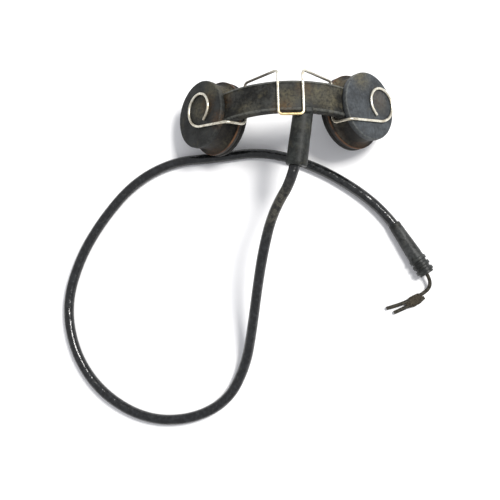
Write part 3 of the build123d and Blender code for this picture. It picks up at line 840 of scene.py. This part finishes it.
def half_of(piece, name, side):
    """One half of a piece that crosses the middle of the band, closed where it is cut."""
    half = piece.copy()
    half.data = piece.data.copy()
    half.name = name
    bpy.context.scene.collection.objects.link(half)
    take(half)
    bpy.ops.object.mode_set(mode="EDIT")
    bpy.ops.mesh.select_all(action="SELECT")
    bpy.ops.mesh.bisect(plane_co=(0, 0, 0), plane_no=(side, 0, 0), use_fill=True, clear_inner=True)
    bpy.ops.object.mode_set(mode="OBJECT")
    return half


def bends(piece):
    """Leaves the piece's place in its mesh."""
    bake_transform(piece)


def band_halves(finish):
    """The band, cut to fit round both capsules, in two halves."""
    whole = band_piece()
    uneven(whole, height=0.22, size=8.0)
    for side in SIDES.values():
        cut_away(whole, capsule_cutter(side))
    for name, side in SIDES.items():
        half = half_of(whole, f"{name}_rubber_band", side)
        smooth(half, angle=38)
        finish_piece(half, None, finish, "band_cover")
        bends(half)
    bpy.data.objects.remove(whole)


def copy_of_node(node, name):
    """A free copy of a hidden piece of the part, with its corners merged, to go with the rubber round it.
    """
    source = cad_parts[node]
    made = source.copy()
    made.data = source.data.copy()
    made.parent = None
    made.name = name
    for key in list(made.keys()):
        del made[key]
    bpy.context.scene.collection.objects.link(made)
    take(made)
    bpy.ops.mesh.customdata_custom_splitnormals_clear()
    bpy.ops.object.mode_set(mode="EDIT")
    bpy.ops.mesh.select_all(action="SELECT")
    bpy.ops.mesh.remove_doubles(threshold=MERGE)
    bpy.ops.object.mode_set(mode="OBJECT")
    return made


def inside_the_band(leaf_finish, lead_finish):
    """The leaf spring in two halves, and the leads, which go with the band."""
    leaf = copy_of_node("leaf_spring", "leaf")
    for name, side in SIDES.items():
        half = half_of(leaf, f"{name}_leaf_spring", side)
        smooth(half, angle=30)
        finish_piece(half, None, leaf_finish, "leaf_spring")
        bends(half)
        leads = copy_of_node(f"{name}_leads", f"{name}_inner_leads")
        smooth(leads, angle=60)
        finish_piece(leads, None, lead_finish, f"{name}_leads")
        bends(leads)
    bpy.data.objects.remove(leaf)


# ---- boot ----
def turn_to(direction):
    """The turn that takes z to a direction."""
    return direction.to_track_quat("Z", "Y").to_matrix().to_4x4()


def boot(finish):
    """Tapered sleeve on the band's lower edge, moulded in one with a lip over the band's face."""
    long = BOOT_RUN.length
    outline = [
        (0, 0),
        (BOOT_ROOT_R, 0),
        (BOOT_ROOT_R, BOOT_WAIST),
        *[(BOOT_END_R + wider, long + height) for wider, height in BOOT_END_OUTLINE],
        *arc((BOOT_END_R - BOOT_EDGE, long - BOOT_EDGE), BOOT_EDGE, 0, 90, steps=5),
        (CORD_R + BOOT_MOUTH_WIDER, long),
        (CORD_R + GAP, long - BOOT_MOUTH_WIDER),
        (CORD_R + GAP, long - BOOT_BORE_DEEP),
        (0, long - BOOT_BORE_DEEP),
    ]
    piece = turned("cable_boot_sleeve", outline, longest=1.0, around=96)
    settle(piece, Matrix.Translation(BOOT_ROOT * MM) @ turn_to(BOOT_AXIS))
    shoulder = lip_block()
    take(piece)
    shoulder.select_set(True)
    bpy.ops.object.join()
    apply_modifier(piece, "REMESH", mode="VOXEL", voxel_size=BOOT_VOXEL * MM)
    apply_modifier(piece, "SMOOTH", factor=0.5, iterations=4)
    uneven(piece, height=0.35, size=6.0)
    take(piece)
    bpy.ops.object.shade_smooth()
    finish_piece(piece, "band", finish, "cable_boot")


def lip_block():
    """The raised shoulder by which the boot holds the band's face, just right of the wire."""
    clear_selection()
    bpy.ops.mesh.primitive_cube_add(size=1)
    block = bpy.context.object
    block.name = "lip"
    block.scale = (LIP_LONG * MM, LIP_ACROSS * MM, LIP_TALL * MM)
    bpy.ops.object.transform_apply(location=False, rotation=False, scale=True)
    apply_modifier(block, "BEVEL", width=LIP_RISE * MM, segments=4)
    middle = arch_point(BAND_R + LIP_RISE - LIP_TALL / 2, LIP_ANGLE, LIP_Y)
    settle(block, Matrix.Translation(middle * MM) @ Matrix.Rotation(radians(LIP_ANGLE), 4, "Y"))
    return block


# ---- the cord's far end ----
def end_sleeve(finish):
    """Tapered sleeve with three worn collars."""
    bore = CORD_R + GAP
    start_r = SLEEVE_START_R
    outline = [(0, SLEEVE_GRIP), (bore, SLEEVE_GRIP), (bore, SLEEVE_EDGE), (start_r - SLEEVE_EDGE, 0)]
    outline += [(start_r, SLEEVE_EDGE_LONG), (SLEEVE_END_R, SLEEVE_LONG)]
    e = COLLAR_EDGE
    for i in range(COLLAR_COUNT):
        foot = SLEEVE_LONG + COLLAR_PITCH * i
        top = foot + COLLAR_WIDE
        outline += arc((COLLAR_R - e, foot + e), e, -90, 0, steps=4)
        outline += arc((COLLAR_R - e, top - e), e, 0, 90, steps=4)
        outline += [(COLLAR_GROOVE_R, top), (COLLAR_GROOVE_R, foot + COLLAR_PITCH)]
    outline += [(0, SLEEVE_WHOLE)]
    piece = turned("ribbed_sleeve", outline, longest=0.9, around=96)
    uneven(piece, height=0.4, size=3.5)
    settle(piece, Matrix.Translation(SLEEVE_START * MM) @ turn_to(SLEEVE_AXIS))
    smooth(piece, angle=45)
    finish_piece(piece, "band", finish, "ribbed_end_sleeve")
    return piece


def cut_leads(finish):
    """Two insulated leads, cut off: one from inside the sleeve and one beside it."""
    outlet = SLEEVE_START + SLEEVE_AXIS * SLEEVE_WHOLE
    long_points = [outlet - SLEEVE_AXIS * LEAD_GRIP, outlet + SLEEVE_AXIS * LEAD_OUT, *LONG_LEAD]
    made = []
    for name, points in {"long_cut_lead": long_points, "short_cut_lead": SHORT_LEAD}.items():
        lead = smooth_tube(f"{name}_wire", points, CUT_LEAD_R, LEAD_SWELL)
        finish_piece(lead, "band", finish, name)
        made.append(lead)
    return made


def tape_lump(finish):
    """Fibrous old tape wrapped round both leads, flat and ragged at its ends."""
    outline = [(TAPE_WIDE / 2 * r, TAPE_LONG / 2 * z) for r, z in TAPE_OUTLINE]
    piece = turned("tape_wrap", outline, longest=0.4, around=72)
    piece.scale = (1, TAPE_TALL / TAPE_WIDE, 1)
    settle(piece)
    uneven(piece, height=0.9, size=1.4)
    turn = radians(TAPE_TURN)
    along = Vector((cos(turn), sin(turn), 0))
    across = Vector((-sin(turn), cos(turn), 0))
    axes = Matrix((across, along.cross(across), along)).transposed().to_4x4()
    settle(piece, Matrix.Translation(TAPE_CENTRE * MM) @ axes)
    smooth(piece, angle=60)
    finish_piece(piece, "band", finish, "lead_tie")
    return piece


# ---- pieces of the part that show as they are ----
def finish_node(node, material):
    """Gives a piece of the part its finish."""
    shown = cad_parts[node]
    shown.data.materials.clear()
    shown.data.materials.append(material)


# ---- floor and light ----
FLOOR_WIDE = 6.0
FLOOR_COLOUR = (0.9, 0.9, 0.905, 1)
KEY_PLACE = (0.55, 0.25, 1.05)
KEY_WIDE = 0.35
KEY_POWER = 17.0
KEY_COLOUR = (1.0, 0.985, 0.96)
STUDIO_COLOUR = (0.95, 0.96, 1.0, 1)
STUDIO_STRENGTH = 0.72


def floor():
    """A plain pale floor."""
    clear_selection()
    bpy.ops.mesh.primitive_plane_add(size=FLOOR_WIDE)
    made = bpy.context.object
    made.name = "floor"
    made.data.materials.append(Finish("pale_floor").done(FLOOR_COLOUR, 0.9, specular=0.1))


def key_light():
    """A soft square light, high on the right, that faces the headset."""
    data = bpy.data.lights.new("key", "AREA")
    data.size = KEY_WIDE
    data.energy = KEY_POWER
    data.color = KEY_COLOUR
    made = bpy.data.objects.new("key", data)
    bpy.context.scene.collection.objects.link(made)
    made.location = KEY_PLACE
    made.rotation_euler = (-Vector(KEY_PLACE)).to_track_quat("-Z", "Y").to_euler()


def surroundings():
    """An even white studio."""
    world = bpy.data.worlds.new("studio")
    world.use_nodes = True
    background = world.node_tree.nodes["Background"]
    background.inputs["Color"].default_value = STUDIO_COLOUR
    background.inputs["Strength"].default_value = STUDIO_STRENGTH
    bpy.context.scene.world = world


# ---- the headset, piece by piece ----
CAP_RUBBERS = {
    "left": worn_rubber(
        "left_cap_rubber",
        dark=(0.007, 0.0075, 0.007),
        light=(0.026, 0.028, 0.027),
        dusty=0.4,
        patches=LEFT_CAP_PATCHES,
        stains=CAP_STAINS,
        edge=cap_edge_wear_and_highlight(-1),
        # Weak painted highlight on the left cap's edge, which faces away from the key light.
        edge_wear_and_highlight=0.12,
    ),
    "right": worn_rubber(
        "right_cap_rubber",
        dark=(0.026, 0.029, 0.032),
        light=(0.06, 0.068, 0.075),
        dusty=0.3,
        patches=RIGHT_CAP_PATCHES,
        stains=CAP_STAINS,
        edge=cap_edge_wear_and_highlight(1),
        # Stronger painted highlight on the right cap's edge, which faces the key light.
        edge_wear_and_highlight=0.35,
    ),
}
CUP_RUBBER = worn_rubber(
    "cup_rubber",
    dark=(0.006, 0.0055, 0.005),
    light=(0.03, 0.026, 0.021),
    dusty=0.5,
    patches=CUP_PATCHES,
    stains=CUP_STAINS,
)
PAD_RUBBER = worn_rubber("pad_rubber", dark=(0.005, 0.005, 0.0045), light=(0.018, 0.016, 0.014), dusty=0.2)
BAND_RUBBER = worn_rubber(
    "band_rubber",
    dark=(0.006, 0.006, 0.0055),
    light=(0.034, 0.035, 0.032),
    dusty=0.55,
    patches=BAND_DUST_PATCHES,
    stains=BAND_STAINS,
    edge=band_edge_wear_and_highlight,
)
BOOT_RUBBER = worn_rubber(
    "boot_rubber",
    dark=(0.008, 0.009, 0.0085),
    light=(0.03, 0.033, 0.031),
    dusty=0.4,
    patches=BOOT_PATCHES,
    shine=0.5,
)
SLEEVE_RUBBER = worn_rubber(
    "sleeve_rubber", dark=(0.012, 0.013, 0.013), light=(0.05, 0.053, 0.052), dusty=0.3, shine=0.42
)
LEAF_STEEL = plain_metal("leaf_steel", (0.4, 0.39, 0.37), (0.2, 0.17, 0.14))
LEAD_JACKET = plain_moulding("lead_jacket", (0.014, 0.013, 0.01), (0.06, 0.054, 0.04))
METALS = {
    "diaphragm_steel": ((0.42, 0.42, 0.41), (0.3, 0.29, 0.27)),
    "magnet_metal": ((0.3, 0.3, 0.31), (0.2, 0.2, 0.2)),
    "pole_iron": ((0.25, 0.25, 0.25), (0.14, 0.12, 0.1)),
    "screw_brass": ((0.7, 0.5, 0.2), (0.4, 0.28, 0.12)),
    "rivet_steel": ((0.45, 0.44, 0.42), (0.25, 0.22, 0.18)),
}
MOULDINGS = {
    "clamp_plastic": ((0.02, 0.018, 0.016), (0.05, 0.045, 0.04)),
    "coil_winding": ((0.32, 0.1, 0.03), (0.22, 0.06, 0.02)),
    "strip_board": ((0.12, 0.05, 0.02), (0.07, 0.03, 0.015)),
}
SLOT_FINISHES = {"can_metal": rusty_metal("rusted_steel"), "spring_wire": sprung_wire("arm_wire")}
SLOT_FINISHES.update({slot: plain_metal(slot, *colours) for slot, colours in METALS.items()})
SLOT_FINISHES.update({slot: plain_moulding(slot, *colours) for slot, colours in MOULDINGS.items()})
SLOT_OF_NODE = {
    "capsule_can": "can_metal",
    "diaphragm": "diaphragm_steel",
    "clamp_ring": "clamp_plastic",
    "magnet": "magnet_metal",
    "pole_pieces": "pole_iron",
    "coils": "coil_winding",
    "terminal_strip": "strip_board",
    "terminal_screws": "screw_brass",
    "anchor_rivets": "rivet_steel",
    "wire_arm": "spring_wire",
}

for side_name, side in SIDES.items():
    cap(side_name, side, CAP_RUBBERS[side_name])
    cup(side_name, side, CUP_RUBBER)
    pad(side_name, side, PAD_RUBBER)
    for node, slot in SLOT_OF_NODE.items():
        finish_node(f"{side_name}_{node}", SLOT_FINISHES[slot])
finish_node("wire_bridge", sprung_wire("bridge_wire", TARNISH_PATCHES, GOLD_PATCHES))
band_halves(BAND_RUBBER)
inside_the_band(LEAF_STEEL, LEAD_JACKET)
boot(BOOT_RUBBER)
sleeve = end_sleeve(SLEEVE_RUBBER)
leads = cut_leads(LEAD_JACKET)
tape = tape_lump(wrapped_tape("old_tape"))

floor()
key_light()
surroundings()
bpy.context.scene.view_settings.view_transform = "Standard"
